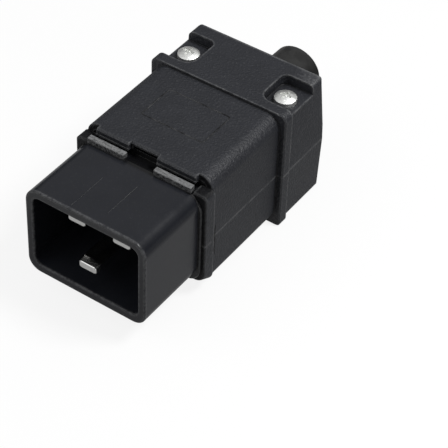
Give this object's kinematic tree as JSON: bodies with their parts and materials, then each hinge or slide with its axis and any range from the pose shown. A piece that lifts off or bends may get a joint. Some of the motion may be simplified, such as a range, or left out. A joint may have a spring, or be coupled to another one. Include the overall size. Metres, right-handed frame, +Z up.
{
  "type": "iec power plug",
  "caption": "Rewireable black power plug: flat pins recessed in a rounded rectangular shroud, a screwed split housing with a raised rear band, and a round rubber cord boot.",
  "frame": {"origin": "centre of the bounding box's footprint, on the surface that the plug lies on", "axes": "+X across the plug, to the right when it is seen from its pins; +Y from the mating face to the cord end; +Z up, through the face that takes the housing screws"},
  "size_m": [0.04, 0.09, 0.0354],
  "materials": {
    "housing": "black, finely eroded texture",
    "insert": "black, smooth satin",
    "pin": "bright nickel plate",
    "screw": "bright zinc plate",
    "terminal": "plain zinc plate",
    "grip": "black, moulded",
    "boot": "smooth, slightly glossy"
  },
  "bodies": {
    "root": {"upper_shell": "housing", "lower_shell": "housing", "contact_insert": "insert", "line_pin": "pin", "neutral_pin": "pin", "earth_pin": "pin", "line_clamp_washer": "terminal", "neutral_clamp_washer": "terminal", "earth_clamp_washer": "terminal", "line_terminal_screw": "screw", "neutral_terminal_screw": "screw", "earth_terminal_screw": "screw", "cord_grip_bar": "grip", "cord_grip_screw_left": "screw", "cord_grip_screw_right": "screw", "shell_screw_left": "screw", "shell_screw_right": "screw", "cable_boot": "boot"}
  },
  "joints": []
}
